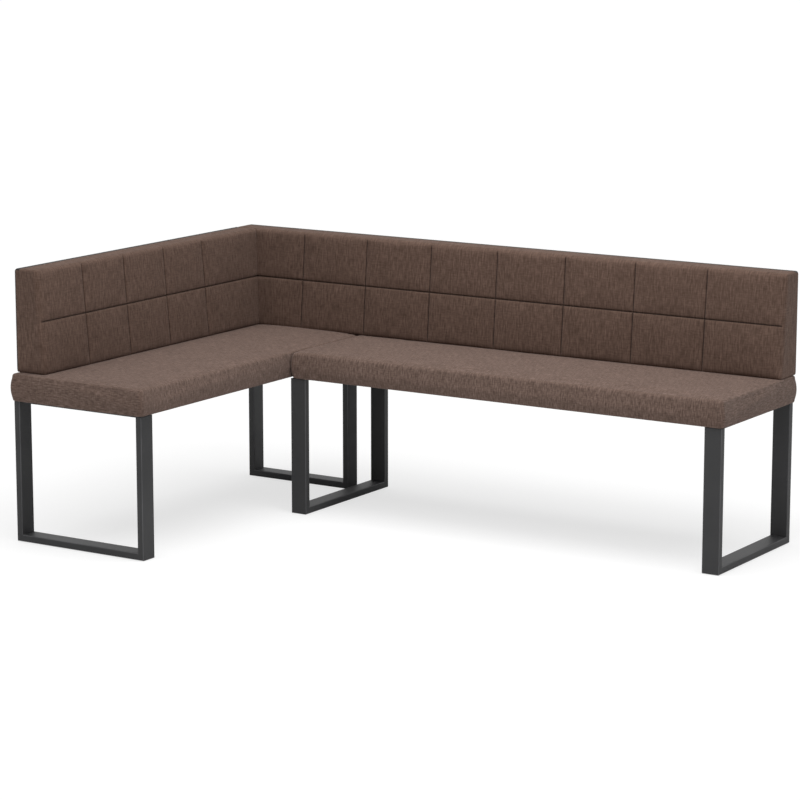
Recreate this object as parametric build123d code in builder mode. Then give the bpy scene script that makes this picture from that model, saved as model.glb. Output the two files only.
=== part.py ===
from build123d import *
from math import cos, radians, sin
import os

# An upholstered corner bench, in millimetres, +Z up, with its origin on the floor under
# the middle of the bench. The wall corner is at the back left: the long wing runs from it
# along +X, the short wing along -Y. Depth is measured from the seats' wall edges.

# Seats, measured on the outline of the cover's lower edge
seat_depth = 492.0
short_seat_length = 1250.0
long_seat_length = 1501.2
seat_underside = 434.0
seat_shoulder = 83.0
seat_crown = 2.5
seat_bulge = 4.0
seat_bottom_round = 8.0
seat_top_round = 12.0
seat_plan_round = 12.0
seat_inner_cut = 11.5
seats_gap = 0.4
roll_turns = (0.0, 45.0, 90.0)
swell_steps = (0.25, 0.5, 0.75)
crown_steps = (60.0, 150.0)

# Backrests. Every rise is a height above the seats' underside.
back_rise = 399.0
back_foot_depth = 110.0
back_lean = 5.0
long_back_end = 1999.5
short_back_end = 1218.0
back_plan_round = 18.0
back_front_round = 13.0
back_rear_round = 5.0
back_on_seat_gap = 0.4
back_joint_gap = 0.3

# Sewn channels of the backrests
row_seam_rise = 243.5
row_seam_depth = 6.0
column_seam_depth = 4.5
seam_lip = 13.0
seam_rise = 0.2
long_panel_width = 244.0
long_panel_margin = 33.0
long_seams = 7
short_panel_width = 204.5
short_panel_margin = 12.5
short_seams = 4

# Upholstery layers
cover_wall = 2.0
quilt_thickness = 11.0
back_side_wall = 3.0
seat_hem = 10.0
back_hem = 25.0
lining_thickness = 1.2
lining_inset = 6.0
lining_corner_cut = 8.0
dust_cover_thickness = 1.0
dust_cover_inset = 12.0
fit_gap = 0.3
foam_skirt_rise = 10.0

# Timber inside
frame_inset = 13.5
rail_width = 40.0
rail_height = 45.0
deck_thickness = 9.0
board_thickness = 15.0
board_inset = 11.0
short_cross_rails = 2
long_cross_rails = 3

# Leg hoops of flat rectangular tube, set in a little from the seats' edges
leg_inset = 6.0
tube_width = 56.0
tube_depth = 21.0
tube_wall = 2.0
top_plate_width = 40.0
top_plate_thickness = 4.0
corner_leg_wall_inset = 61.5
corner_leg_room_inset = 33.5
corner_leg_setback = 52.0
glide_height = 2.0
glide_length = 40.0
glide_width = 14.0
glide_inset = 30.0
glide_corner_cut = 3.0

# Steel straps on the wall side
strap_width = 40.0
strap_thickness = 4.0
strap_rise = 8.0
strap_length = 282.0
strap_gap = 0.2
strap_end_cut = 6.0
short_strap_places = (-1000.0, -420.0)
long_strap_places = (244.0, 860.0, 1640.0)
seat_screw_rises = (17.0, 37.0)
back_screw_rises = (170.0, 270.0)

# Screws
leg_screw_radius = 3.0
leg_screw_length = 38.0
leg_screw_head_radius = 6.0
leg_screw_head_height = 3.5
leg_screw_places = (70.0, 130.0)
strap_screw_radius = 2.5
strap_screw_head_radius = 5.0
strap_screw_head_height = 2.5
seat_strap_screw_length = 36.0
back_strap_screw_length = 19.0
fastener_sides = 8
bore_gap = 0.1

# Levels and places that follow from the sizes above
cover_bottom = seat_underside + dust_cover_thickness
back_top = seat_underside + back_rise
plate_underside = seat_underside - top_plate_thickness
rail_bottom = cover_bottom + cover_wall + fit_gap
deck_bottom = rail_bottom + rail_height
deck_top = deck_bottom + deck_thickness
long_seat_start = seat_depth + 2 * seat_bulge + seats_gap
long_seat_end = long_seat_start + long_seat_length
wall_reach = seat_bulge + strap_gap + strap_thickness
back_rear = lining_thickness - seat_bulge

corner_x = (wall_reach - long_seat_end - seat_bulge) / 2
corner_y = (short_seat_length + seat_bulge - wall_reach) / 2

# Each wing's base plane: x is the depth from the wall into the room, y runs along the wing
short_wing = Plane(origin=(corner_x, corner_y, 0), x_dir=(1, 0, 0), z_dir=(0, 0, 1))
long_wing = Plane(origin=(corner_x, corner_y, 0), x_dir=(0, -1, 0), z_dir=(0, 0, 1))

os.makedirs("parts", exist_ok=True)


def write(piece, name):
    """Label a finished piece and write it under its own name."""
    piece.label = name
    export_step(piece, f"parts/{name}.step")


def shifted(plane, x, y, z):
    """The same plane moved to a place given in its own coordinates."""
    return Plane(origin=plane.from_local_coords((x, y, z)), x_dir=plane.x_dir, z_dir=plane.z_dir)


# Legs: each hoop has two posts up to the seat, a floor rail with mitred ends, a top plate
# welded between the posts and set back from their faces, and two glides

leg_front = seat_depth - leg_inset
hoops = {
    "short_end_leg": (
        short_wing,
        leg_inset,
        leg_front,
        leg_inset + tube_width / 2 - short_seat_length,
    ),
    "short_corner_leg": (
        short_wing,
        corner_leg_wall_inset,
        seat_depth - corner_leg_room_inset,
        -corner_leg_setback - tube_width / 2,
    ),
    "long_inner_leg": (
        long_wing,
        leg_inset,
        leg_front,
        long_seat_start - leg_inset + tube_width / 2,
    ),
    "long_end_leg": (
        long_wing,
        leg_inset,
        leg_front,
        long_seat_end - leg_inset - tube_width / 2,
    ),
}


def tube(plane, length):
    """A rectangular tube along the plane's normal, its wall side at the plane's origin."""
    with BuildPart() as bar:
        with BuildSketch(plane):
            with Locations((tube_depth / 2, 0)):
                Rectangle(tube_depth, tube_width)
                Rectangle(tube_depth - 2 * tube_wall, tube_width - 2 * tube_wall, mode=Mode.SUBTRACT)
        extrude(amount=length)
    return bar.part


def screw_section(planes, radius):
    """Section of a screw or of its bore, on each of several planes: an octagon, to save facets."""
    with BuildSketch(*planes) as section:
        RegularPolygon(radius, fastener_sides)
    return section.sketch


def hoop_screws(wing, wall_side, room_side, along):
    """Planes at the leg screws, on the underside of one hoop's top plate."""
    depths = [wall_side + place for place in leg_screw_places]
    depths += [room_side - place for place in leg_screw_places]
    return [shifted(wing, depth, along, plate_underside) for depth in depths]


for hoop_name, (wing, wall_side, room_side, along) in hoops.items():
    width = room_side - wall_side
    foot = shifted(wing, wall_side, along, glide_height)
    wall_mitre = Plane(origin=foot.origin, x_dir=foot.y_dir, z_dir=foot.z_dir - foot.x_dir)
    far_foot = foot.from_local_coords((width, 0, 0))
    room_mitre = Plane(origin=far_foot, x_dir=foot.y_dir, z_dir=foot.z_dir + foot.x_dir)
    post_height = seat_underside - glide_height

    wall_tube = tube(foot, post_height)
    with BuildPart() as wall_post:
        add(wall_tube)
        split(bisect_by=wall_mitre, keep=Keep.TOP)
    write(wall_post.part, f"{hoop_name}_wall_post")

    room_tube = tube(shifted(foot, width - tube_depth, 0, 0), post_height)
    with BuildPart() as room_post:
        add(room_tube)
        split(bisect_by=room_mitre, keep=Keep.TOP)
    write(room_post.part, f"{hoop_name}_room_post")

    rail_start = Plane(
        origin=foot.from_local_coords((0, 0, tube_depth)), x_dir=-foot.z_dir, z_dir=foot.x_dir
    )
    floor_tube = tube(rail_start, width)
    with BuildPart() as floor_rail:
        add(floor_tube)
        split(bisect_by=wall_mitre, keep=Keep.BOTTOM)
        split(bisect_by=room_mitre, keep=Keep.BOTTOM)
    write(floor_rail.part, f"{hoop_name}_floor_rail")

    plate_bores = screw_section(
        hoop_screws(wing, wall_side, room_side, along), leg_screw_radius + bore_gap
    )
    with BuildPart() as top_plate:
        with BuildSketch(shifted(wing, wall_side + width / 2, along, plate_underside)):
            Rectangle(width - 2 * tube_depth, top_plate_width)
        extrude(amount=top_plate_thickness)
        extrude(plate_bores, amount=top_plate_thickness, mode=Mode.SUBTRACT)
    write(top_plate.part, f"{hoop_name}_top_plate")

    with BuildPart() as glides:
        with BuildSketch(shifted(wing, wall_side + width / 2, along, 0)) as glides_outline:
            with Locations((glide_inset - width / 2, 0), (width / 2 - glide_inset, 0)):
                Rectangle(glide_length, glide_width)
            chamfer(glides_outline.vertices(), length=glide_corner_cut)
        extrude(amount=glide_height)
    write(glides.part, f"{hoop_name}_glides")

leg_screw_planes = [spot for hoop in hoops.values() for spot in hoop_screws(*hoop)]
leg_shanks = screw_section(leg_screw_planes, leg_screw_radius)
leg_heads = screw_section(leg_screw_planes, leg_screw_head_radius)
leg_bores = screw_section(leg_screw_planes, leg_screw_radius + bore_gap)
with BuildPart() as leg_screws:
    extrude(leg_shanks, amount=leg_screw_length)
    extrude(leg_heads, amount=-leg_screw_head_height)
write(leg_screws.part, "leg_screws")


# Straps: flat steel on the wall side, screwed to the seat frames and the back boards


def strap_screws(wing, along, rises):
    """Planes at one strap's screws, on its wall face and looking into the bench."""
    return [
        Plane(
            origin=wing.from_local_coords((-wall_reach, along, seat_underside + rise)),
            x_dir=wing.y_dir,
            z_dir=wing.x_dir,
        )
        for rise in rises
    ]


straps = {
    "short_back_strap_front": (short_wing, short_strap_places[0]),
    "short_back_strap_corner": (short_wing, short_strap_places[1]),
    "long_back_strap_corner": (long_wing, long_strap_places[0]),
    "long_back_strap_middle": (long_wing, long_strap_places[1]),
    "long_back_strap_end": (long_wing, long_strap_places[2]),
}
strap_middle = strap_rise + strap_length / 2
for strap_name, (wing, along) in straps.items():
    spots = strap_screws(wing, along, seat_screw_rises + back_screw_rises)
    strap_holes = screw_section(spots, strap_screw_radius + bore_gap)
    strap_sinks = screw_section(spots, strap_screw_head_radius + bore_gap)
    with BuildPart() as strap:
        with BuildSketch(*strap_screws(wing, along, [strap_middle])) as strap_outline:
            Rectangle(strap_width, strap_length)
            chamfer(strap_outline.vertices(), length=strap_end_cut)
        extrude(amount=strap_thickness)
        extrude(strap_holes, amount=strap_thickness, mode=Mode.SUBTRACT)
        extrude(strap_sinks, amount=strap_screw_head_height, mode=Mode.SUBTRACT)
    write(strap.part, strap_name)

short_straps = [(short_wing, along) for along in short_strap_places]
long_straps = [(long_wing, along) for along in long_strap_places]
short_seat_straps = short_straps + long_straps[:1]
long_seat_straps = long_straps[1:]


def screw_planes(strap_list, rises):
    """Planes at the screws of several straps."""
    return [spot for wing, along in strap_list for spot in strap_screws(wing, along, rises)]


strap_screw_groups = {
    "seat_strap_screws": (seat_screw_rises, seat_strap_screw_length),
    "back_strap_screws": (back_screw_rises, back_strap_screw_length),
}
for screws_name, (rises, length) in strap_screw_groups.items():
    spots = screw_planes(short_straps + long_straps, rises)
    shanks = screw_section(spots, strap_screw_radius)
    heads = screw_section(spots, strap_screw_head_radius)
    with BuildPart() as screws:
        extrude(shanks, amount=length)
        extrude(heads, amount=strap_screw_head_height)
    write(screws.part, screws_name)


# Seats: a timber frame and deck, a foam pad, a sewn cover turned under, and a dust cover


def seat_top(inset, layer):
    """Height of the crowned top at a distance in from the edge, a layer below the cover."""
    half = seat_depth / 2
    share = (half - inset) / (half - seat_top_round)
    return cover_bottom + seat_shoulder - layer + seat_crown * (1 - share**2)


def seat_form(wing, start, end, layer):
    """The seat's full form, a layer inside the cover's outer face.

    A loft through rectangles: rolled lower edge, sides that swell between the edges,
    rolled upper edge, and a crown that rises to the middle. The outer face has rounded
    corners; the layers inside it, which are never seen, have plain cut ones.
    """
    lower_round = seat_bottom_round - layer
    upper_round = seat_top_round - layer
    bottom = cover_bottom + layer
    shoulder = cover_bottom + seat_shoulder - layer
    side_bottom = bottom + lower_round
    side_height = shoulder - upper_round - side_bottom
    sections = []
    for turn in roll_turns:
        tuck = radians(turn)
        sections.append((bottom + lower_round * (1 - cos(tuck)), layer + lower_round * (1 - sin(tuck))))
    for share in swell_steps:
        swell = 4 * seat_bulge * share * (1 - share)
        sections.append((side_bottom + share * side_height, layer - swell))
    for turn in roll_turns:
        tuck = radians(turn)
        sections.append((shoulder - upper_round * (1 - sin(tuck)), layer + upper_round * (1 - cos(tuck))))
    for inset in crown_steps:
        sections.append((seat_top(inset, layer), inset))
    with BuildPart() as form:
        for height, inset in sections:
            with BuildSketch(shifted(wing, seat_depth / 2, (start + end) / 2, height)) as section:
                Rectangle(seat_depth - 2 * inset, end - start - 2 * inset)
                if layer:
                    chamfer(section.vertices(), length=seat_inner_cut)
                else:
                    fillet(section.vertices(), radius=seat_plan_round)
        loft(ruled=True)
    return form.part


seats = {
    "short_seat": (
        short_wing,
        -short_seat_length,
        0.0,
        short_cross_rails,
        short_seat_straps,
        [hoops["short_corner_leg"][3]],
    ),
    "long_seat": (
        long_wing,
        long_seat_start,
        long_seat_end,
        long_cross_rails,
        long_seat_straps,
        [],
    ),
}
for seat_name, (wing, start, end, cross_rails, strap_list, leg_rails) in seats.items():
    middle = (start + end) / 2
    frame_width = seat_depth - 2 * frame_inset
    frame_length = end - start - 2 * frame_inset
    rail_level = shifted(wing, seat_depth / 2, middle, rail_bottom)
    strap_spots = screw_planes(strap_list, seat_screw_rises)
    strap_bores = screw_section(strap_spots, strap_screw_radius + bore_gap)
    strap_reach = seat_strap_screw_length + bore_gap
    leg_reach = leg_screw_length + bore_gap

    for rail_name, side in (("wall_rail", -1), ("room_rail", 1)):
        with BuildPart() as rail:
            with BuildSketch(rail_level):
                with Locations((side * (frame_width - rail_width) / 2, 0)):
                    Rectangle(rail_width, frame_length)
            extrude(amount=rail_height)
            extrude(strap_bores, amount=strap_reach, mode=Mode.SUBTRACT)
        write(rail.part, f"{seat_name}_{rail_name}")

    rail_spread = frame_length - rail_width
    rail_places = [place - middle for place in leg_rails]
    for number in range(cross_rails + 2):
        rail_places.append(rail_spread * (number / (cross_rails + 1) - 0.5))
    with BuildPart() as cross:
        with BuildSketch(rail_level):
            with Locations(*[(0, place) for place in rail_places]):
                Rectangle(frame_width - 2 * rail_width, rail_width)
        extrude(amount=rail_height)
        extrude(leg_bores, amount=leg_reach, mode=Mode.SUBTRACT)
        extrude(strap_bores, amount=strap_reach, mode=Mode.SUBTRACT)
    write(cross.part, f"{seat_name}_cross_rails")

    with BuildPart() as deck:
        with BuildSketch(shifted(rail_level, 0, 0, rail_height)):
            Rectangle(frame_width, frame_length)
        extrude(amount=deck_thickness)
    write(deck.part, f"{seat_name}_deck")

    foam_blank = seat_form(wing, start, end, cover_wall + fit_gap)
    with BuildPart() as foam:
        add(foam_blank)
        split(bisect_by=Plane.XY.offset(seat_underside + foam_skirt_rise), keep=Keep.TOP)
        with BuildSketch(rail_level):
            Rectangle(frame_width + 2 * fit_gap, frame_length + 2 * fit_gap)
        extrude(amount=deck_top + fit_gap - rail_bottom, mode=Mode.SUBTRACT)
        extrude(strap_bores, amount=strap_reach, mode=Mode.SUBTRACT)
    write(foam.part, f"{seat_name}_foam")

    cover_blank = seat_form(wing, start, end, 0.0)
    cover_void = seat_form(wing, start, end, cover_wall)
    window_inset = seat_bottom_round + seat_hem
    with BuildPart() as cover:
        add(cover_blank)
        add(cover_void, mode=Mode.SUBTRACT)
        with BuildSketch(shifted(wing, seat_depth / 2, middle, cover_bottom)):
            Rectangle(seat_depth - 2 * window_inset, end - start - 2 * window_inset)
        extrude(amount=cover_wall, mode=Mode.SUBTRACT)
        extrude(strap_bores, amount=strap_reach, mode=Mode.SUBTRACT)
    write(cover.part, f"{seat_name}_cover")

    with BuildPart() as dust_cover:
        with BuildSketch(shifted(wing, seat_depth / 2, middle, seat_underside)) as dust_outline:
            Rectangle(seat_depth - 2 * dust_cover_inset, end - start - 2 * dust_cover_inset)
            chamfer(dust_outline.vertices(), length=seat_inner_cut)
        extrude(amount=dust_cover_thickness)
        extrude(leg_bores, amount=leg_reach, mode=Mode.SUBTRACT)
    write(dust_cover.part, f"{seat_name}_dust_cover")


# Backrests: a plywood board, a foam pad, a quilted cover turned round the board's edges,
# and a lining on the wall side. The front leans back, so the pad is thicker at its foot.

back_bottom = seat_top(back_foot_depth - back_front_round, 0.0) + back_on_seat_gap
back_height = back_top - back_bottom
lean_rise = sin(radians(back_lean))
lean_run = cos(radians(back_lean))


def rear_of(wing, depth):
    """Upright plane across the wing at a depth: x along the wing, y up, facing the room."""
    return Plane(
        origin=wing.from_local_coords((depth, 0, 0)), x_dir=wing.y_dir, z_dir=wing.x_dir
    )


def front_of(wing, layer):
    """Plane of the leaning front, a layer behind it: x along the wing, y up the slope."""
    normal = wing.x_dir * lean_run + wing.z_dir * lean_rise
    foot = wing.from_local_coords((back_foot_depth, 0, back_bottom)) - normal * layer
    return Plane(origin=foot, x_dir=wing.y_dir, z_dir=normal)


def joint_plane(layer):
    """Plane where the short backrest meets the long one's front, a layer inside the short one."""
    return front_of(long_wing, -back_joint_gap - layer)


def back_block(wing, start, end, inset, round_radius, rear, front):
    """A block with the backrest's outline, from a depth behind to a leaning plane in front."""
    with BuildPart() as block:
        with BuildSketch(rear_of(wing, rear)):
            with Locations(((start + end) / 2, (back_top + back_bottom) / 2)):
                RectangleRounded(end - start - 2 * inset, back_height - 2 * inset, round_radius)
        extrude(amount=2 * back_foot_depth)
        split(bisect_by=front, keep=Keep.BOTTOM)
    return block.part


def channel(plane, depth):
    """Section of a sewn channel: two padded lips that roll down to the stitched line."""
    with BuildSketch(plane) as groove:
        with BuildLine():
            TangentArc((-seam_lip, seam_rise), (0, -depth), tangent=(1, 0))
            TangentArc((seam_lip, seam_rise), (0, -depth), tangent=(-1, 0))
            Polyline(
                (seam_lip, seam_rise),
                (seam_lip, seam_lip),
                (-seam_lip, seam_lip),
                (-seam_lip, seam_rise),
            )
        make_face()
    return groove.sketch


long_columns = [
    back_rear + long_panel_margin + long_panel_width * number
    for number in range(1, long_seams + 1)
]
short_columns = [
    short_panel_margin - short_back_end + short_panel_width * number
    for number in range(1, short_seams + 1)
]
backs = {
    "short_back": (short_wing, -short_back_end, -back_foot_depth, short_columns, short_straps),
    "long_back": (long_wing, back_rear, long_back_end, long_columns, long_straps),
}
for back_name, (wing, start, end, columns, strap_list) in backs.items():
    joins_long_back = wing is short_wing
    front = front_of(wing, 0.0)
    blank_end = end + back_foot_depth if joins_long_back else end
    board_rear = back_rear + cover_wall + fit_gap
    back_spots = screw_planes(strap_list, back_screw_rises)
    back_bores = screw_section(back_spots, strap_screw_radius + bore_gap)
    with BuildPart() as board:
        with BuildSketch(rear_of(wing, board_rear)):
            with Locations(((start + end) / 2, (back_top + back_bottom) / 2)):
                Rectangle(end - start - 2 * board_inset, back_height - 2 * board_inset)
        extrude(amount=board_thickness)
        extrude(back_bores, amount=back_strap_screw_length + bore_gap, mode=Mode.SUBTRACT)
    write(board.part, f"{back_name}_board")

    foam_front = front_of(wing, quilt_thickness + fit_gap)
    foam_inset = back_side_wall + fit_gap
    foam_round = back_plan_round - foam_inset
    foam_blank = back_block(wing, start, blank_end, foam_inset, foam_round, board_rear, foam_front)
    with BuildPart() as foam:
        add(foam_blank)
        if joins_long_back:
            split(bisect_by=joint_plane(foam_inset), keep=Keep.TOP)
        with BuildSketch(rear_of(wing, board_rear)):
            with Locations(((start + end) / 2, (back_top + back_bottom) / 2)):
                Rectangle(
                    end - start - 2 * (board_inset - fit_gap),
                    back_height - 2 * (board_inset - fit_gap),
                )
        extrude(amount=board_thickness + fit_gap, mode=Mode.SUBTRACT)
    write(foam.part, f"{back_name}_foam")

    cover_blank = back_block(wing, start, blank_end, 0.0, back_plan_round, back_rear, front)
    void_front = front_of(wing, quilt_thickness)
    void_round = back_plan_round - back_side_wall
    void_rear = back_rear + cover_wall
    void_blank = back_block(wing, start, blank_end, back_side_wall, void_round, void_rear, void_front)
    with BuildPart() as void:
        add(void_blank)
        if joins_long_back:
            split(bisect_by=joint_plane(back_side_wall), keep=Keep.TOP)
    row_up = (seat_underside + row_seam_rise - back_bottom) / lean_run
    row_plane = Plane(
        origin=front.from_local_coords((start - back_foot_depth, row_up, 0)),
        x_dir=front.y_dir,
        z_dir=front.x_dir,
    )
    row_groove = channel(row_plane, row_seam_depth)
    column_grooves = []
    for place in columns:
        column_plane = Plane(
            origin=front.from_local_coords((place, -back_foot_depth, 0)),
            x_dir=-front.x_dir,
            z_dir=front.y_dir,
        )
        column_grooves.append(channel(column_plane, column_seam_depth))
    with BuildPart() as cover:
        add(cover_blank)
        fillet(cover.faces().filter_by(front).edges(), radius=back_front_round)
        fillet(cover.faces().filter_by(rear_of(wing, 0)).edges(), radius=back_rear_round)
        extrude(row_groove, amount=blank_end - start + 2 * back_foot_depth, mode=Mode.SUBTRACT)
        for groove in column_grooves:
            extrude(groove, amount=back_height + 2 * back_foot_depth, mode=Mode.SUBTRACT)
        if joins_long_back:
            split(bisect_by=joint_plane(0.0), keep=Keep.TOP)
        add(void.part, mode=Mode.SUBTRACT)
        with BuildSketch(rear_of(wing, back_rear)):
            with Locations(((start + end) / 2, (back_top + back_bottom) / 2)):
                Rectangle(end - start - 2 * back_hem, back_height - 2 * back_hem)
        extrude(amount=cover_wall, mode=Mode.SUBTRACT)
    write(cover.part, f"{back_name}_cover")

    with BuildPart() as lining:
        with BuildSketch(rear_of(wing, back_rear - lining_thickness)) as lining_outline:
            with Locations(((start + end) / 2, (back_top + back_bottom) / 2)):
                Rectangle(end - start - 2 * lining_inset, back_height - 2 * lining_inset)
            chamfer(lining_outline.vertices(), length=lining_corner_cut)
        extrude(amount=lining_thickness)
        extrude(back_bores, amount=back_strap_screw_length + bore_gap, mode=Mode.SUBTRACT)
    write(lining.part, f"{back_name}_lining")
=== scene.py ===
import math
import bpy
import numpy as np
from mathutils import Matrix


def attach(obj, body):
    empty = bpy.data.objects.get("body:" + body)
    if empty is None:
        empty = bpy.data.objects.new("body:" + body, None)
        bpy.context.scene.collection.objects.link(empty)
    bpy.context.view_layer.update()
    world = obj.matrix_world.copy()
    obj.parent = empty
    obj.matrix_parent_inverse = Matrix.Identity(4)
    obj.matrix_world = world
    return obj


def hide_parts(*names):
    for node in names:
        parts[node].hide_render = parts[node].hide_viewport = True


# An upholstered corner bench: two padded seats on four steel hoops, with a quilted backrest
# along each wall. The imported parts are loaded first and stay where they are.
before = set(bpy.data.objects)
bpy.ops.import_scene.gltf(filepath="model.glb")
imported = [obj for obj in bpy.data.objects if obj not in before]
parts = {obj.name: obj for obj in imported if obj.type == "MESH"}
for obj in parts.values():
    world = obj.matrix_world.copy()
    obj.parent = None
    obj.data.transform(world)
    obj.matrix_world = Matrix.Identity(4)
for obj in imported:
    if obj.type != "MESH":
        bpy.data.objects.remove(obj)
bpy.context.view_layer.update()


# Leg hoops: each one is a U of flat rectangular steel tube, two posts and a floor rail with
# mitred and ground welds, powder coated in matt anthracite. A plate welded between the posts
# takes the screws into the seat frame.

wall_corner = np.array((-0.9987, 0.6229))
tube_width = 0.056
tube_depth = 0.021
tube_round = 0.0026
tube_arc_points = 5
tube_crease = math.radians(40.0)
hoop_foot = 0.002
hoop_top = 0.434
# the tube's section stands at both ends of a hoop and at both turns
hoop_stations = 4
# name: wing, wall-side face, room-side face, place along the wing
hoops = {
    "short_end_leg": ("short", 0.006, 0.486, -1.216),
    "short_corner_leg": ("short", 0.0615, 0.4585, -0.080),
    "long_inner_leg": ("long", 0.006, 0.486, 0.5224),
    "long_end_leg": ("long", 0.006, 0.486, 1.9676),
}


def on_wing(wing, depth, along, up):
    """Points of one wing in the row frame: depth runs from the wall into the room, along runs
    out from the wall corner on the long wing and towards it on the short one."""
    depth, along, up = np.broadcast_arrays(depth, along, up)
    if wing == "short":
        return np.stack((wall_corner[0] + depth, wall_corner[1] + along, up), -1)
    return np.stack((wall_corner[0] + along, wall_corner[1] - depth, up), -1)


def new_piece(name, points, faces):
    """A mesh object at the origin with its place in its vertices, shaded smooth."""
    mesh = bpy.data.meshes.new(name)
    mesh.from_pydata(points.reshape(-1, 3).tolist(), [], faces)
    mesh.polygons.foreach_set("use_smooth", np.ones(len(mesh.polygons), bool))
    mesh.update()
    piece = bpy.data.objects.new(name, mesh)
    bpy.context.scene.collection.objects.link(piece)
    return piece


def dress(name, finish):
    """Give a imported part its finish."""
    parts[name].data.materials.clear()
    parts[name].data.materials.append(finish)


def net_faces(rows, columns, around=False):
    """Quads of a net of points, row by row; the columns close into a ring if it goes around."""
    index = np.arange(rows * columns).reshape(rows, columns)
    if around:
        index = np.concatenate((index, index[:, :1]), 1)
    corners = (index[:-1, :-1], index[:-1, 1:], index[1:, 1:], index[1:, :-1])
    return np.stack(corners, -1).reshape(-1, 4)


def rounded_oblong(width, height, radius, steps):
    """A rounded oblong as a closed outline: four corner arcs, and two points on each straight
    run, one and a half radii in from the arcs. Also gives how close each point is to the middle
    of its arc, as the sine of twice its angle."""
    turns = np.linspace(0.0, math.pi / 2, steps)
    aside = 1.5 * radius
    outline, edge = [], []
    for quarter in range(4):
        angle = turns + quarter * math.pi / 2
        sign = np.array(((1, 1), (-1, 1), (-1, -1), (1, -1)))[quarter]
        middle = sign * (width / 2 - radius, height / 2 - radius)
        arc = middle + radius * np.stack((np.cos(angle), np.sin(angle)), -1)
        before = arc[0] - aside * np.array((-math.sin(angle[0]), math.cos(angle[0])))
        after = arc[-1] + aside * np.array((-math.sin(angle[-1]), math.cos(angle[-1])))
        outline.append(np.vstack((before, arc, after)))
        edge.append(np.r_[0.0, np.sin(2 * turns), 0.0])
    return np.vstack(outline), np.concatenate(edge)


def node(tree, kind, inputs=None, **settings):
    """Add a shader node: settings are its own values, inputs are values or sockets to join."""
    made = tree.nodes.new("ShaderNode" + kind)
    for key, value in settings.items():
        setattr(made, key, value)
    for key, value in (inputs or {}).items():
        if isinstance(value, bpy.types.NodeSocket):
            tree.links.new(value, made.inputs[key])
        else:
            made.inputs[key].default_value = value
    return made


def new_finish(name, **values):
    """A principled material; the values that are the same all over go on its own sockets."""
    finish = bpy.data.materials.new(name)
    finish.use_nodes = True
    shader = finish.node_tree.nodes["Principled BSDF"]
    for key, value in values.items():
        shader.inputs[key.replace("_", " ")].default_value = value
    return finish, finish.node_tree, shader


def srgb(red, green, blue):
    """A colour given as seen on a screen, 0 to 255, as the linear colour that shaders take: the
    screen's curve, a short straight foot and then a power, undone."""
    seen = np.array((red, green, blue)) / 255.0
    linear = np.where(seen <= 0.04045, seen / 12.92, ((seen + 0.055) / 1.055) ** 2.4)
    return (*linear.tolist(), 1.0)


def ramp(tree, factor, *stops):
    """A colour ramp through (place, colour) stops."""
    made = node(tree, "ValToRGB", {"Fac": factor})
    while len(made.color_ramp.elements) < len(stops):
        made.color_ramp.elements.new(0.5)
    for element, (place, colour) in zip(made.color_ramp.elements, stops):
        element.position = place
        element.color = colour
    return made.outputs["Color"]


def speckle(tree, scale, detail, **more):
    """Noise fixed to the piece's own place, with the scale in waves to the metre."""
    place = node(tree, "TexCoord").outputs["Object"]
    values = {"Vector": place, "Scale": scale, "Detail": detail, **more}
    return node(tree, "TexNoise", values).outputs["Fac"]


def surfaced(tree, shader, colour, pattern, rough=None, relief=None):
    """Join a finish together: its colour, a roughness that follows the pattern from one value to
    another, and the pattern as relief of a given strength and height."""
    tree.links.new(colour, shader.inputs["Base Color"])
    if rough:
        gloss = node(tree, "MapRange", {"Value": pattern, "To Min": rough[0], "To Max": rough[1]})
        tree.links.new(gloss.outputs[0], shader.inputs["Roughness"])
    if relief:
        values = {"Height": pattern, "Strength": relief[0], "Distance": relief[1]}
        tree.links.new(node(tree, "Bump", values).outputs[0], shader.inputs["Normal"])


def powder_coat(name, dark, light, edge_highlight):
    """Powder coat: a fine pebbled skin, faint cloudy differences in shade and gloss, and a painted
    highlight, a much paler line along the middle of each rounded edge."""
    finish, tree, shader = new_finish(name, Specular_IOR_Level=0.35)
    cloud = speckle(tree, scale=7.0, detail=4.0)
    pebble = speckle(tree, scale=900.0, detail=2.0)
    coat = ramp(tree, cloud, (0.3, dark), (0.7, light))
    # painted highlight: the edge attribute peaks in the middle of each rounded edge and mixes in
    # the pale colour
    edge = node(tree, "Attribute", attribute_name="edge").outputs["Fac"]
    arris_highlight = node(tree, "Math", {0: edge, 1: cloud}, operation="MULTIPLY").outputs[0]
    colour = node(tree, "MixRGB", {"Fac": arris_highlight, "Color1": coat, "Color2": edge_highlight}).outputs[0]
    surfaced(tree, shader, colour, pebble, rough=(0.42, 0.6), relief=(0.18, 0.0004))
    return finish


# the coat's two shades, and a much paler colour for the highlight painted along its rounded edges
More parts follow.
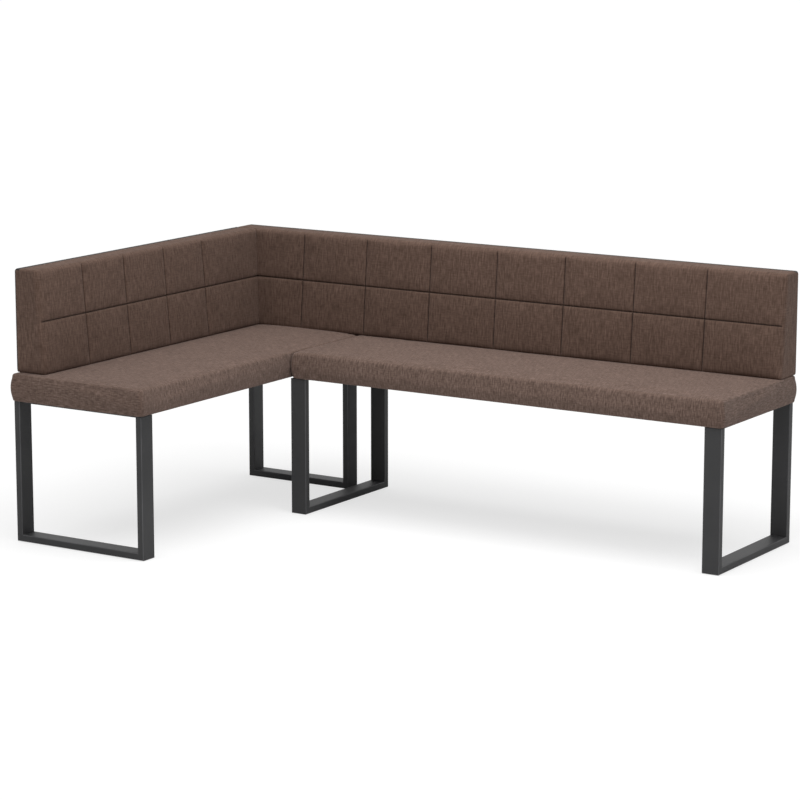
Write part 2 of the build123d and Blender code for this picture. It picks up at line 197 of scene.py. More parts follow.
anthracite = powder_coat(
    "anthracite_coat",
    dark=srgb(49, 49, 50),
    light=srgb(56, 56, 57),
    edge_highlight=srgb(108, 108, 110),
)
outline, edge = rounded_oblong(tube_depth, tube_width, tube_round, tube_arc_points)
inward = outline[:, 0] + tube_depth / 2
across = np.tile(outline[:, 1], (hoop_stations, 1))
count = len(outline)
for hoop, (wing, wall_side, room_side, along) in hoops.items():
    # the tube's section carried down one post, along the floor and up the other, mitred at
    # both turns and closed at both ends
    wall, room = wall_side + inward, room_side - inward
    top, foot = 0 * inward + hoop_top, hoop_foot + inward
    depth = np.stack((wall, wall, room, room))
    up = np.stack((top, foot, foot, top))
    points = on_wing(wing, depth, along + across, up)
    last = hoop_stations * count - 1
    faces = net_faces(hoop_stations, count, around=True)[:, ::-1].tolist()
    faces += [list(range(count)), list(range(last, last - count, -1))]
    piece = new_piece(f"{hoop}_tube", points, faces)
    # where the painted edge highlight falls: strongest in the middle of each rounded edge
    arris_highlight = piece.data.attributes.new("edge", "FLOAT", "POINT")
    arris_highlight.data.foreach_set("value", np.tile(edge, hoop_stations))
    piece.data.set_sharp_from_angle(angle=tube_crease)
    piece.data.materials.append(anthracite)
    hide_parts(f"{hoop}_wall_post", f"{hoop}_room_post", f"{hoop}_floor_rail")
    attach(piece, "root")
    dress(f"{hoop}_top_plate", anthracite)


# Glides: two thin pads of hard plastic under each floor rail, moulded in black and slightly
# scuffed. They are stuck to the steel and keep it 2 mm off the floor.

glide_black, tree, shader = new_finish("glide_black", Specular_IOR_Level=0.4)
scuff = speckle(tree, scale=220.0, detail=5.0)
shade = ramp(tree, scuff, (0.35, srgb(24, 24, 25)), (0.75, srgb(44, 44, 45)))
surfaced(tree, shader, shade, scuff, rough=(0.45, 0.75), relief=(0.2, 0.0003))
for hoop in hoops:
    dress(f"{hoop}_glides", glide_black)


# Seat frames: softwood rails glued and stapled into a box, hidden inside the pads. The deck on
# each frame and the boards of the backrests are birch plywood.

softwood_pale = srgb(214, 184, 140)
softwood_deep = srgb(178, 140, 94)
# wing: waves of the grain to the metre, few along its rails
softwood_grain = {"short": (260.0, 9.0, 260.0), "long": (9.0, 260.0, 260.0)}


def sawn_wood(name, pale, deep, grain):
    """Wood: long grain lines from noise drawn out along one direction, shaded from the deep
    colour to the pale one; the deep lines are the rougher ones."""
    finish, tree, shader = new_finish(name, Specular_IOR_Level=0.3)
    place = node(tree, "TexCoord").outputs["Object"]
    drawn = node(tree, "Mapping", {"Vector": place, "Scale": grain}).outputs[0]
    lines = node(tree, "TexNoise", {"Vector": drawn, "Scale": 1.0, "Detail": 6.0}).outputs["Fac"]
    shade = ramp(tree, lines, (0.35, deep), (0.65, pale))
    surfaced(tree, shader, shade, lines, rough=(0.85, 0.65), relief=(0.25, 0.0005))
    return finish


birch_ply = sawn_wood(
    "birch_plywood",
    pale=srgb(206, 180, 144),
    deep=srgb(176, 146, 108),
    grain=(14.0, 90.0, 700.0),
)
for wing, grain in softwood_grain.items():
    softwood = sawn_wood(f"softwood_{wing}", softwood_pale, softwood_deep, grain)
    for rail in ("wall_rail", "room_rail", "cross_rails"):
        dress(f"{wing}_seat_{rail}", softwood)
    for board in ("seat_deck", "back_board"):
        dress(f"{wing}_{board}", birch_ply)


# Seat pads: foam on the deck under one piece of slubby brown cloth, pulled over the edges,
# turned under and stapled to the frame. The top is slightly crowned and its edges are rolled.

seat_depth = 0.492
seat_bottom = 0.435
seat_shoulder = 0.518
seat_lower_roll = 0.008
seat_upper_roll = 0.012
seat_swell = 0.004
seat_hem = 0.018
seat_crown = 0.0025
crown_power = 1.3
crown_end_power = 6
pad_corner = 0.012
# the backrest presses on the seat up to this depth, and the crown comes up over the next stretch
under_back = 0.112
crown_starts_over = 0.05
# the rolls are squarer up to this distance from the room side, and turn soft over the next stretch
seat_square = 1.3
square_until = 0.1
square_fades_over = 0.08
# spacing of the net for the filling and of the finished net
seat_fill_net = 0.018
seat_net = 0.007
seat_pressure = 0.5
seat_cap = 0.005
seat_fill_fade = 0.05
fill_steps = 14
# the seats press on each other within this distance of the joint, and along this length of it
joint_hold = 0.012
joint_length = 0.52
# points of a turned edge: flat under it, on each roll and on the flank between them
hem_points = 3
roll_points = 7
flank_points = 7
flank_start = hem_points + roll_points - 1
# the net's lines over a turned edge, and how near to an extra line another may stand, in spacings
rim_spacing = 0.45
line_clearance = 0.3
# a pad's corner grows by a share of the inset, and dies out on its top
corner_growth = 0.3
corner_dies_from = 0.02
corner_dies_over = 0.05
corner_least = 0.02
least_length = 1e-9
# dark brown painted along the seams: partly the thread, mostly painted shade of the seams' creases
seam_shade_brown = srgb(30, 22, 18)
# wing: place along it where the seat starts and ends
seats = {"short": (-1.250, 0.0), "long": (0.5004, 2.0016)}


def off_wing(wing, points):
    """Depth and place along the wing of points in the row frame, the reverse of on_wing."""
    x = points[..., 0] - wall_corner[0]
    y = points[..., 1] - wall_corner[1]
    return (x, y) if wing == "short" else (-y, x)


def turned_edge(hem, lower, upper, flank, swell):
    """How a cover goes round an edge, as run of cloth from the hem, inset and rise: flat under
    the edge, a roll, a flank that swells as a parabola, a second roll. Insets are measured from
    the outline and rises from the underside."""
    turn = np.linspace(0.0, math.pi / 2, roll_points)
    share = np.linspace(0.0, 1.0, flank_points + 2)[1:-1]
    inset = np.concatenate(
        (
            np.linspace(hem, lower, hem_points + 1)[:-1],
            lower * (1 - np.sin(turn)),
            -4 * swell * share * (1 - share),
            upper * (1 - np.cos(turn)),
        )
    )
    rise = np.concatenate(
        (
            np.zeros(hem_points),
            lower * (1 - np.cos(turn)),
            lower + share * flank,
            lower + flank + upper * np.sin(turn),
        )
    )
    run = np.concatenate(((0.0,), np.cumsum(np.hypot(np.diff(inset), np.diff(rise)))))
    return run, inset, rise


def drawn_over(across, along, half_across, half_along, run, inset, corner):
    """Lay a flat sheet of cloth over a box with rounded corners. A point's distance from the hem
    gives its ring, and the ring's inset gives a smaller or larger oblong. The point keeps its
    share of the ring's side; where two sides meet it is drawn onto the corner's arc.

    Gives back the two places in the outline's plane and the distance from the hem."""
    sheet_across = half_across - inset[-1] + run[-1]
    sheet_along = half_along - inset[-1] + run[-1]
    from_hem = np.minimum(sheet_across - np.abs(across), sheet_along - np.abs(along))
    beyond = np.maximum(from_hem - run[-1], 0.0)
    ring = np.interp(from_hem, run, inset) + beyond
    reach_across = half_across - ring
    reach_along = half_along - ring
    x = across * reach_across / np.maximum(sheet_across - from_hem, least_length)
    y = along * reach_along / np.maximum(sheet_along - from_hem, least_length)
    left = np.clip(1.0 - (ring - corner_dies_from) / corner_dies_over, corner_least, 1.0)
    radius = (corner + corner_growth * np.clip(ring, 0.0, None)) * left
    over_x = np.abs(x) - (reach_across - radius)
    over_y = np.abs(y) - (reach_along - radius)
    at_corner = (over_x > 0) & (over_y > 0)
    pull = np.where(at_corner, radius / np.maximum(np.hypot(over_x, over_y), least_length), 1.0)
    x = np.where(at_corner, np.sign(x) * (reach_across - radius + over_x * pull), x)
    y = np.where(at_corner, np.sign(y) * (reach_along - radius + over_y * pull), y)
    return x, y, from_hem


def even_knots(half, spacing, edge, extra=()):
    """Places of the net's lines across a sheet: even in the middle and closer together over the
    turned edge. Extra lines push out those that stand close to them."""
    inner = half - edge
    count = max(2, math.ceil(2 * inner / spacing))
    rim = np.linspace(inner, half, math.ceil(edge / (rim_spacing * spacing)) + 1)[1:]
    knots = np.concatenate((-rim[::-1], np.linspace(-inner, inner, count + 1), rim))
    near = np.array(extra).reshape(-1)
    if len(near):
        apart = np.abs(knots[:, None] - near[None, :]).min(1)
        knots = np.concatenate((knots[apart > line_clearance * spacing], near))
    return np.sort(knots)


def closed_shell(face, under):
    """Join a face sheet and an underside sheet of the same net along their rims, and turn the
    quads so that the volume they enclose, a sum of triple products, comes out positive."""
    rows, columns = face.shape[:2]
    index = np.arange(rows * columns).reshape(rows, columns)
    below = index.copy()
    inner = (rows - 2) * (columns - 2)
    below[1:-1, 1:-1] = rows * columns + np.arange(inner).reshape(rows - 2, columns - 2)
    points = np.concatenate((face.reshape(-1, 3), under[1:-1, 1:-1].reshape(-1, 3)))

    def quads(net):
        corners = (net[:-1, :-1], net[1:, :-1], net[1:, 1:], net[:-1, 1:])
        return np.stack(corners, -1).reshape(-1, 4)

    faces = np.concatenate((quads(index), quads(below)[:, ::-1]))
    a, b, c, d = (points[faces[:, place]] - points.mean(0) for place in range(4))
    volume = np.sum(np.cross(a, b) * c + np.cross(a, c) * d)
    return points, faces if volume > 0 else faces[:, ::-1]


def filled(name, face, under, held, pressure, cap):
    """Fill a sewn cover: a cloth simulation with air pressure and no weight, held where it is
    stapled or sewn. Gives how far each point of the face moved, eased so that it stays below the
    cap: a move of the cap's own length is halved."""
    points, faces = closed_shell(face, under)
    cover = new_piece(name, points, faces.tolist())
    fixed = np.ones(len(points))
    fixed[: held.size] = held.ravel()
    group = cover.vertex_groups.new(name="held")
    group.add(np.flatnonzero(fixed).tolist(), 1.0, "REPLACE")
    cloth = cover.modifiers.new("cloth", "CLOTH")
    cloth.settings.quality = 5
    cloth.settings.mass = 0.02
    cloth.settings.tension_stiffness = 12.0
    cloth.settings.compression_stiffness = 12.0
    cloth.settings.shear_stiffness = 8.0
    cloth.settings.bending_stiffness = 0.4
    cloth.settings.use_pressure = True
    cloth.settings.uniform_pressure_force = pressure
    cloth.settings.vertex_group_mass = "held"
    cloth.settings.effector_weights.gravity = 0.0
    cloth.collision_settings.use_collision = False
    cloth.point_cache.frame_start = 1
    cloth.point_cache.frame_end = fill_steps
    for step in range(1, fill_steps + 1):
        bpy.context.scene.frame_set(step)
    blown = cover.evaluated_get(bpy.context.evaluated_depsgraph_get()).data
    places = np.empty(3 * len(blown.vertices), np.float32)
    blown.vertices.foreach_get("co", places)
    moved = (places.reshape(-1, 3) - points)[: held.size].reshape(face.shape)
    bpy.data.objects.remove(cover)
    bpy.context.scene.frame_set(1)
    length = np.linalg.norm(moved, axis=-1, keepdims=True)
    return moved / (1.0 + length / cap)


def refined(field, rows, columns, fine_rows, fine_columns):
    """A field on a coarse net read at the lines of a finer one, linearly in both directions."""
    for known, wanted in ((rows, fine_rows), (columns, fine_columns)):
        low = np.clip(np.searchsorted(known, wanted) - 1, 0, len(known) - 2)
        share = ((wanted - known[low]) / (known[low + 1] - known[low]))[:, None, None]
        field = np.swapaxes(field[low] * (1 - share) + field[low + 1] * share, 0, 1)
    return field


def fade(distance, length):
    """Zero up to no distance and one from the length on; between them three times the square of
    the share less twice its cube."""
    share = np.clip(distance / length, 0, 1)
    return share * share * (3 - 2 * share)


def seat_sheet(wing, start, end, across, along):
    """A seat's cover and underside on a net of cloth coordinates: the turned edge all round, its
    rolls squarer away from the room side by a power of their share, then a top that rises as one
    minus the square of its share, flat where the backrest presses on it."""
    half_across = seat_depth / 2
    half_along = (end - start) / 2
    p, q = np.meshgrid(across, along, indexing="ij")
    x, y, from_hem = drawn_over(
        p, q, half_across, half_along, seat_run, seat_inset, pad_corner
    )
    inner = np.clip(1 - (x / (half_across - seat_upper_roll)) ** 2, 0, 1)
    inner = inner * np.clip(1 - (y / (half_along - seat_upper_roll)) ** crown_end_power, 0, 1)
    crown = seat_crown * inner**crown_power * (from_hem > seat_run[-1])
    crown = crown * fade(half_across + x - under_back, crown_starts_over)
    square = 1 + seat_square * (1 - fade(x - half_across + square_until, square_fades_over))
    rise = np.interp(from_hem, seat_run, seat_rise)
    drop = np.clip((seat_rise[-1] - rise) / seat_upper_roll, 0, 1)
    lift = np.clip(rise / seat_lower_roll, 0, 1)
    up = seat_bottom + rise + seat_upper_roll * (drop - drop**square)
    up = up - seat_lower_roll * (lift - lift**square) + crown
    middle = (start + end) / 2
    face = on_wing(wing, half_across + x, middle + y, up)
    share = (half_across - seat_hem) / across[-1], (half_along - seat_hem) / along[-1]
    under = on_wing(wing, half_across + p * share[0], middle + q * share[1], 0 * p + seat_bottom)
    return face, under, from_hem


def slub_cloth(name, light, middle, dark, slub_width, slub_length, sheen):
    """Slubby upholstery cloth: uneven thick and thin yarns as streaks of noise drawn out along the
    warp and the weft, a fine plain weave, slow mottling, a soft sheen, and a dark brown where the
    seam attribute says so, partly the thread and mostly painted shade of the seam's crease. It
    follows the cloth's own coordinates, in metres, the warp second."""
    finish, tree, shader = new_finish(
        name, Sheen_Weight=sheen, Sheen_Roughness=0.5, Specular_IOR_Level=0.1, Roughness=0.9
    )
    cloth = node(tree, "UVMap", uv_map="cloth").outputs["UV"]

    def drawn(width, length, detail):
        waves = (1 / width, 1 / length, 1.0)
        stretch = node(tree, "VectorMath", {0: cloth, 1: waves}, operation="MULTIPLY")
        values = {"Vector": stretch.outputs[0], "Scale": 1.0, "Detail": detail, "Roughness": 0.6}
        return node(tree, "TexNoise", values).outputs["Fac"]

    def mixed(one, other, share):
        return node(tree, "MixRGB", {"Fac": share, "Color1": one, "Color2": other}).outputs[0]

    def product(one, other):
        return node(tree, "Math", {0: one, 1: other}, operation="MULTIPLY").outputs[0]

    weft_share, yarn_share, mottle_share, tone_share = 0.33, 0.12, 0.12, 0.6
    warp_slub = drawn(slub_width, slub_length, 1.0)
    weft_slub = drawn(0.7 * slub_length, 0.9 * slub_width, 1.0)
    yarn = drawn(0.35 * slub_width, 0.2 * slub_length, 2.0)
    mottle = drawn(0.06, 0.12, 2.0)
    streaks = mixed(mixed(warp_slub, weft_slub, weft_share), yarn, yarn_share)
    tone = mixed(streaks, mottle, mottle_share)
    shade = ramp(tree, tone, (0.32, dark), (0.5, middle), (0.68, light))
    # the painted seam shade varies along each seam by noise, from eight tenths of its strength to
    # all of it
    seam = node(tree, "Attribute", attribute_name="seam").outputs["Fac"]
    pull = {"Value": drawn(0.012, 0.012, 1.0), "From Min": 0.3, "From Max": 0.7, "To Min": 0.8}
    seam_shade_share = product(seam, node(tree, "MapRange", pull).outputs[0])
    weave = {"Vector": cloth, "Scale": 280.0, "Distortion": 0.4}
    warp = node(tree, "TexWave", weave, bands_direction="X").outputs["Fac"]
    weft = node(tree, "TexWave", weave, bands_direction="Y").outputs["Fac"]
    height = mixed(product(warp, weft), tone, tone_share)
    surfaced(tree, shader, mixed(shade, seam_shade_brown, seam_shade_share), height, relief=(0.5, 0.0012))
    return finish


def lay_cloth(piece, across, along, place_across, place_along):
    """Keep the cloth's own coordinates on the piece, the warp, which runs across it, second. A
    side that is turned over an edge keeps its run of cloth one way and its real place the other,
    as when the corners are mitred, so the threads stay square to the edges."""
    p, q = np.meshgrid(across, along, indexing="ij")
    turned = across[-1] - np.abs(p) < along[-1] - np.abs(q)
    flat = np.stack((np.where(turned, place_along, q), np.where(turned, p, place_across)), -1)
    flat = np.concatenate((flat.reshape(-1, 2), flat[1:-1, 1:-1].reshape(-1, 2)))
    corner = np.empty(len(piece.data.loops), np.int32)
    piece.data.loops.foreach_get("vertex_index", corner)
    layer = piece.data.uv_layers.new(name="cloth")
    layer.data.foreach_set("uv", flat[corner].astype(np.float32).ravel())


seat_flank = seat_shoulder - seat_bottom - seat_lower_roll - seat_upper_roll
seat_run, seat_inset, seat_rise = turned_edge(
    seat_hem, seat_lower_roll, seat_upper_roll, seat_flank, seat_swell
)
seat_cloth = slub_cloth(
    "seat_cloth",
    light=srgb(134, 112, 102),
    middle=srgb(106, 87, 78),
    dark=srgb(80, 64, 56),
    slub_width=0.004,
    slub_length=0.02,
    sheen=0.1,
)
for wing, (start, end) in seats.items():
    half_across = seat_depth / 2 - seat_upper_roll + seat_run[-1]
    half_along = (end - start) / 2 - seat_upper_roll + seat_run[-1]
    halves = (half_across, half_along)
    coarse = [even_knots(half, seat_fill_net, seat_run[-1]) for half in halves]
    fine = [even_knots(half, seat_net, seat_run[-1]) for half in halves]
    face, under, from_hem = seat_sheet(wing, start, end, *coarse)
    # stapled below, pressed down by the backrest, and pressed flat where the seats meet
    depth, along = off_wing(wing, face)
    held = (from_hem < seat_run[flank_start]) | (depth < under_back)
    if wing == "short":
        held |= (depth > seat_depth - joint_hold) & (along > -joint_length)
    else:
        held |= along < start + joint_hold
    moved = filled(f"{wing}_seat_fill", face, under, held, seat_pressure, seat_cap)
    face, under, from_hem = seat_sheet(wing, start, end, *fine)
    depth, along = off_wing(wing, face)
    loose = fade(from_hem - seat_run[flank_start], seat_fill_fade)[..., None]
    points, faces = closed_shell(face + refined(moved, *coarse, *fine) * loose, under)
    piece = new_piece(f"{wing}_seat_pad", points, faces.tolist())
    lay_cloth(piece, *fine, depth - seat_depth / 2, along - (start + end) / 2)
    piece.data.materials.append(seat_cloth)
    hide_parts(f"{wing}_seat_cover", f"{wing}_seat_foam")
    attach(piece, "root")


# Dust covers: thin black non-woven cloth under each seat frame, cut a little smaller than the
# seat and stapled flat to its rails.

dust_inset = 0.012
dust_level = 0.4345
dust_thickness = 0.0005
dust_net = (41, 121)
dust_ripple = 0.00015
dust_waves = 14
dust_rim_power = 8


def net_shares(rows, columns):
    """Places on a net as shares of its width and its length, from minus a half to a half."""
    widths = np.linspace(-0.5, 0.5, rows)
    return np.meshgrid(widths, np.linspace(-0.5, 0.5, columns), indexing="ij")


def thin_sheet(name, wing, points, thickness):
    """A sheet of cloth on a net of points, as thick to one side of the net as to the other."""
    faces = net_faces(*points.shape[:2])
    piece = new_piece(name, points, (faces if wing == "short" else faces[:, ::-1]).tolist())
    thick = piece.modifiers.new("thickness", "SOLIDIFY")
    thick.thickness = thickness
    thick.offset = 0.0
    return piece


dust_black, tree, shader = new_finish("dust_cloth", Specular_IOR_Level=0.2, Roughness=0.9)
fibres = speckle(tree, scale=420.0, detail=6.0, Roughness=0.7)
shade = ramp(tree, fibres, (0.35, srgb(22, 22, 22)), (0.7, srgb(46, 45, 44)))
surfaced(tree, shader, shade, fibres, relief=(0.4, 0.0004))
for wing, (start, end) in seats.items():
    # a flat net with a slight ripple of sine waves along it, which dies out at its long edges
    width = seat_depth - 2 * dust_inset
    length = end - start - 2 * dust_inset
    p, q = net_shares(*dust_net)
    ripple = dust_ripple * np.sin(2 * math.pi * dust_waves * q) * (1 - (2 * p) ** dust_rim_power)
    depth = seat_depth / 2 + width * p
    points = on_wing(wing, depth, (start + end) / 2 + length * q, dust_level + ripple)
    piece = thin_sheet(f"{wing}_seat_dust_cloth", wing, points, dust_thickness)
    piece.data.materials.append(dust_black)
    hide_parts(f"{wing}_seat_dust_cover")
    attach(piece, "root")


# Backrest pads: foam on a plywood board under a darker copy of the seat cloth, the difference
# being painted shade, quilted with one long seam and upright seams. The front leans back, its
# edges are rolled, and the cover is stapled behind.
# The long pad runs through the corner; the short one is cut to lean against its front.

back_foot = 0.51989
back_top = 0.833
back_middle = (back_top + back_foot) / 2
back_rear = -0.0028
back_foot_depth = 0.110
back_slope = math.tan(math.radians(5.0))
back_rear_roll = 0.005
back_front_roll = 0.013
back_hem = 0.025
back_corner = 0.008
back_crease = math.radians(75.0)
# the pad's weight squashes the rolls at its foot, the front one from this share of the flank on,
# and presses the foot into the seat
back_squash = 2.2
front_roll_from = 0.99
back_press = 0.0016
back_press_fade = 0.02
# the short pad's cloth stops at this gap, and what is left over is gathered to this share
back_joint_gap = 0.0011
back_joint_gather = 0.02
row_seam = 0.6775
row_lip_depth = 0.0032
column_lip_depth = 0.0022
seam_lip = 0.012
seam_hold = 0.004
pinch_depth = 0.0028
pinch_width = 0.0017
# width and strength of the dark line painted along each seam, mostly painted shade of its crease
seam_shade_width = 0.0015
seam_shade_strength = 0.85
# spacing of the net for the filling and of the finished net, and the lines beside each seam
back_fill_net = 0.020
back_net = 0.009
beside_seam = np.array((0.0, 0.0008, 0.0016, 0.0026, 0.0042, 0.0065, 0.0095, 0.0125, 0.0155))
beside_seam = np.concatenate((-beside_seam[:0:-1], beside_seam))
back_pressure = 1.6
back_cap = 0.004
back_held_share = 0.75
# how far the lining comes round the rear edge, on the top and elsewhere; the wider dark band on
# the top is partly lining and partly painted shade of the rear roll
lining_and_shade_over_top = 0.018
lining_over_rest = 0.002
lining_top_band = 0.006
# wing: where the pad starts and ends along the wing, and where its upright seams are
backs = {
    "short": (-1.218, -0.110, (-1.001, -0.7965, -0.592, -0.3875)),
    "long": (-0.0028, 1.9995, (0.2742, 0.5182, 0.7622, 1.0062, 1.2502, 1.4942, 1.7382)),
}


def back_front(up):
    """Depth of the leaning front at a height: the foot's depth, less the slope times the height
    above the foot."""
    return back_foot_depth - back_slope * (up - back_foot)


def seam_sink(distance, depth):
    """How far the cloth dips at a distance from a seam: padded lips that roll in as the square of
    the distance left, and a narrow pinch at the stitches, a bell curve."""
    lip = depth * np.clip(1 - np.abs(distance) / seam_lip, 0, 1) ** 2
    return lip + pinch_depth * np.exp(-((distance / pinch_width) ** 2))


def back_sheet(wing, start, end, columns, up_knots, along_knots):
    """A backrest's cover and rear sheet on a net of cloth coordinates: the turned edge all round,
    its flank stretched to the leaning front, the seams sunk into the front, and on the short
    pad the end laid flat against the long pad's front."""
    half_up = (back_top - back_foot) / 2
    half_along = (end - start) / 2
    p, q = np.meshgrid(up_knots, along_knots, indexing="ij")
    x, y, from_hem = drawn_over(p, q, half_up, half_along, back_run, back_inset, back_corner)
    up = back_middle + x
    along = (start + end) / 2 + y
    rise = np.interp(from_hem, back_run, back_rise)
    flank = back_front(up) - back_rear - back_rear_roll - back_front_roll
    share = np.clip((rise - back_rear_roll) / back_flank, 0, 1)
    depth = back_rear + rise + share * (flank - back_flank)
    # the lower front roll and the lower corners sit squashed on the seat, by a power of their
    # share of the height
    squashed = np.where(share > front_roll_from, back_front_roll, back_corner)
    low = np.clip((up - back_foot) / squashed, 0, 1)
    up = up - squashed * (low - low**back_squash)
    up = up - back_press * (1 - fade(up - back_foot, back_press_fade))
    # the seams run out over the front roll
    on_front = fade(from_hem - back_run[-1] + back_front_roll, back_front_roll)
    sink = seam_sink(up - row_seam, row_lip_depth)
    nearest = np.abs(up - row_seam)
    for column in columns:
        sink = np.maximum(sink, seam_sink(along - column, column_lip_depth))
        nearest = np.minimum(nearest, np.abs(along - column))
    depth = depth - sink * on_front
    # painted shade along each seam: a bell curve across it, on the front only
    seam_shade = on_front * np.exp(-((nearest / seam_shade_width) ** 2))

    def stopped(place, height):
        # cloth that would go past the long pad's front is gathered close before it
        past = np.maximum(place + back_front(height) + back_joint_gap, 0.0)
        return place - (1 - back_joint_gather) * past if wing == "short" else place

    face = on_wing(wing, depth, stopped(along, up), up)
    rear_up = back_middle + p * (half_up - back_hem) / up_knots[-1]
    rear_along = (start + end) / 2 + q * (half_along - back_hem) / along_knots[-1]
    under = on_wing(wing, 0 * p + back_rear, stopped(rear_along, rear_up), rear_up)
    return face, under, from_hem, seam_shade


back_flank = back_front(back_middle) - back_rear - back_rear_roll - back_front_roll
back_run, back_inset, back_rise = turned_edge(
    back_hem, back_rear_roll, back_front_roll, back_flank, 0.0
)
# the seat cloth painted darker, with less sheen, as painted shade on the backrests
shaded_back_cloth = slub_cloth(
    "shaded_back_cloth",
    light=srgb(119, 96, 85),
    middle=srgb(100, 80, 70),
    dark=srgb(82, 64, 55),
    slub_width=0.005,
    slub_length=0.03,
    sheen=0.06,
)
lining_cloth, tree, shader = new_finish(
    "lining_cloth", Specular_IOR_Level=0.2, Sheen_Weight=0.1, Roughness=0.88
)
threads = speckle(tree, scale=700.0, detail=4.0)
cloudy = speckle(tree, scale=12.0, detail=3.0)
tone = node(tree, "MixRGB", {"Fac": 0.5, "Color1": threads, "Color2": cloudy}).outputs[0]
# dark, so that the band round the top rear edge also serves as painted shade there
shade = ramp(tree, tone, (0.35, srgb(30, 28, 27)), (0.65, srgb(48, 44, 42)))
surfaced(tree, shader, shade, threads, relief=(0.35, 0.0004))
for wing, (start, end, columns) in backs.items():
    if wing == "short":
        # cut long enough for the top, where the long pad's front leans away
        end = -back_front(back_top) + back_front_roll
    middle = (start + end) / 2
    half_up = (back_top - back_foot) / 2 - back_front_roll + back_run[-1]
    half_along = (end - start) / 2 - back_front_roll + back_run[-1]
    row = row_seam - back_middle
    uprights = np.array(columns) - middle
    coarse = [
        even_knots(half_up, back_fill_net, back_run[-1], row),
        even_knots(half_along, back_fill_net, back_run[-1], uprights),
    ]
    fine = [
        even_knots(half_up, back_net, back_run[-1], row + beside_seam),
        even_knots(half_along, back_net, back_run[-1], np.add.outer(uprights, beside_seam)),
    ]
    face, under, from_hem = back_sheet(wing, start, end, columns, *coarse)[:3]
    # stapled behind, sewn along the seams, and pressed flat where the two backrests meet
    along = off_wing(wing, face)[1]
    held = from_hem < back_held_share * back_run[-1]
    held |= np.abs(face[..., 2] - row_seam) < seam_hold
    held |= np.abs(along[..., None] - np.array(columns)).min(-1) < seam_hold
    if wing == "short":
        held |= along > -back_foot_depth - joint_hold
    else:
        held |= along < back_foot_depth + joint_hold
    moved = filled(f"{wing}_back_fill", face, under, held, back_pressure, back_cap)
    face, under, from_hem, seam_shade = back_sheet(wing, start, end, columns, *fine)
    face = face + refined(moved, *coarse, *fine)
    points, faces = closed_shell(face, under)
    piece = new_piece(f"{wing}_back_pad", points, faces.tolist())
    lay_cloth(piece, *fine, face[..., 2] - back_middle, off_wing(wing, face)[1] - middle)
    behind = np.zeros(len(points) - seam_shade.size)
    # the seams' painted shade goes on as a point attribute that the cloth reads
    seam = piece.data.attributes.new("seam", "FLOAT", "POINT")
    strength = np.concatenate((seam_shade_strength * seam_shade.ravel(), behind))
    seam.data.foreach_set("value", strength)
    piece.data.set_sharp_from_angle(angle=back_crease)
    piece.data.materials.append(shaded_back_cloth)
    # the lining comes round the rear edge; on the top its dark band also paints the rear roll's
    # shade
    piece.data.materials.append(lining_cloth)
    run = np.concatenate((from_hem.ravel(), behind))
    on_top = points[faces, 2].min(1) > back_top - lining_top_band
    wrap = back_run[flank_start] + np.where(on_top, lining_and_shade_over_top, lining_over_rest)
    lined = (run[faces].max(1) < wrap).astype(np.int32)
    piece.data.polygons.foreach_set("material_index", lined)
    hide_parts(f"{wing}_back_cover", f"{wing}_back_foam")
    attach(piece, "root")


# Linings: plain woven cloth over the wall side of each backrest, of the same stuff that comes
# round its rear edge. It is hemmed and stapled down, and drawn in a little between the staples.

lining_inset = 0.006
lining_face = -0.0030
lining_thickness = 0.0007
lining_net = (41, 161)
lining_ripple = 0.0002
lining_waves = 26
lining_rim_power = 6
for wing, (start, end, columns) in backs.items():
    # a flat net with sine waves along it, which grow towards its long edges
    width = back_top - back_foot - 2 * lining_inset
    length = end - start - 2 * lining_inset
    p, q = net_shares(*lining_net)
    waves = np.sin(2 * math.pi * lining_waves * q)
    ripple = lining_ripple * waves * np.abs(2 * p) ** lining_rim_power
    along = (start + end) / 2 + length * q
    points = on_wing(wing, lining_face + ripple, along, back_middle + width * p)
    piece = thin_sheet(f"{wing}_back_lining_cloth", wing, points, lining_thickness)
    piece.data.materials.append(lining_cloth)
    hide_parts(f"{wing}_back_lining")
    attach(piece, "root")


# Straps: five flat steel bars on the wall side tie the backrests to the seats, coated as the legs
# are. Their screws, and those that hold the legs, are zinc plated.

straps = {"short": ("front", "corner"), "long": ("corner", "middle", "end")}
strap_coat = powder_coat("strap_coat", srgb(48, 48, 49), srgb(60, 60, 61), srgb(60, 60, 61))
for wing, places in straps.items():
    for place in places:
        dress(f"{wing}_back_strap_{place}", strap_coat)
zinc, tree, shader = new_finish("zinc_plate", Metallic=1.0)
spangle = speckle(tree, scale=380.0, detail=3.0)
shade = ramp(tree, spangle, (0.3, srgb(150, 152, 156)), (0.7, srgb(190, 192, 196)))
surfaced(tree, shader, shade, spangle, rough=(0.28, 0.5))
for screws in ("leg_screws", "seat_strap_screws", "back_strap_screws"):
    dress(screws, zinc)


# Studio: a pale seamless floor that the camera sees as near white, a dim white dome with a broad
# sun and a softbox overhead, and the camera at the photograph's place.

floor_reach = 40.0
floor_colour = (0.8, 0.8, 0.8, 1.0)
floor_seen_colour = (0.38, 0.38, 0.38, 1.0)
floor_seen_glow = 0.67
dome_light = 0.34
dome_seen = 1.0
white = (1.0, 1.0, 1.0, 1.0)


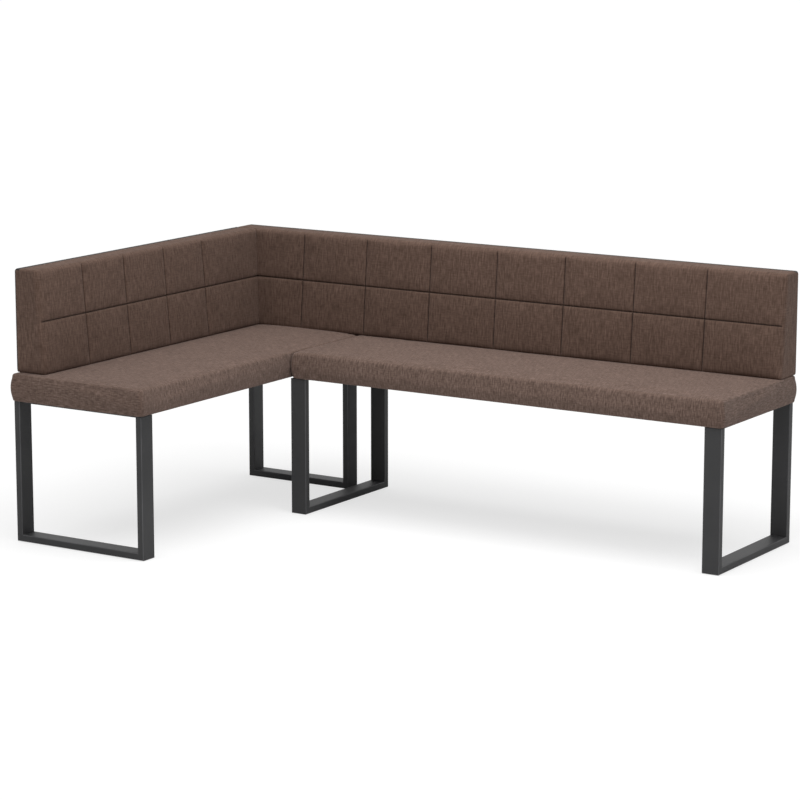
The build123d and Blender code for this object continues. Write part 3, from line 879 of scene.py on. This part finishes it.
def stand(name, data, location=(0.0, 0.0, 0.0), turned=(0.0, 0.0, 0.0)):
    """Put a lamp or the camera in the studio, turned by these degrees about x, y and z."""
    made = bpy.data.objects.new(name, data)
    made.location = location
    made.rotation_euler = [math.radians(angle) for angle in turned]
    bpy.context.scene.collection.objects.link(made)
    return made


ground = np.array(((-1, -1, 0), (1, -1, 0), (1, 1, 0), (-1, 1, 0))) * floor_reach
floor = new_piece("floor", ground, [[0, 1, 2, 3]])
pale = bpy.data.materials.new("pale_floor")
pale.use_nodes = True
tree = pale.node_tree
tree.nodes.clear()
rays = node(tree, "LightPath").outputs
plain = node(tree, "BsdfDiffuse", {"Color": floor_colour}).outputs[0]
matt = node(tree, "BsdfDiffuse", {"Color": floor_seen_colour}).outputs[0]
glow = node(tree, "Emission", {"Color": white, "Strength": floor_seen_glow}).outputs[0]
bright = node(tree, "AddShader", {0: matt, 1: glow}).outputs[0]
both = node(tree, "MixShader", {0: rays["Is Camera Ray"], 1: plain, 2: bright}).outputs[0]
node(tree, "OutputMaterial", {"Surface": both})
floor.data.materials.append(pale)

world = bpy.data.worlds.new("studio")
world.use_nodes = True
bpy.context.scene.world = world
tree = world.node_tree
tree.nodes.clear()
rays = node(tree, "LightPath").outputs
seen = rays["Is Camera Ray"]
for ray in ("Is Glossy Ray", "Is Transmission Ray"):
    seen = node(tree, "Math", {0: seen, 1: rays[ray]}, operation="MAXIMUM").outputs[0]
level = node(tree, "MapRange", {"Value": seen, "To Min": dome_light, "To Max": dome_seen})
sky = node(tree, "Background", {"Color": white, "Strength": level.outputs[0]})
node(tree, "OutputWorld", {"Surface": sky.outputs[0]})

sun = bpy.data.lights.new("overhead", "SUN")
sun.energy = 1.8
sun.angle = math.radians(60.0)
stand("overhead", sun, turned=(13.0, 0.0, 32.0))
panel = bpy.data.lights.new("softbox", "AREA")
panel.shape = "RECTANGLE"
panel.size = 1.8
panel.size_y = 1.0
panel.energy = 17.0
stand("softbox", panel, (0.45, -0.2, 2.3))

lens = bpy.data.cameras.new("camera")
lens.sensor_width = 36.0
lens.lens = 131.6
camera = stand("camera", lens, (4.6354, -7.2885, 2.1002), turned=(79.114, 0.0, 32.512))
bpy.context.scene.camera = camera
bpy.context.scene.view_settings.view_transform = "Standard"
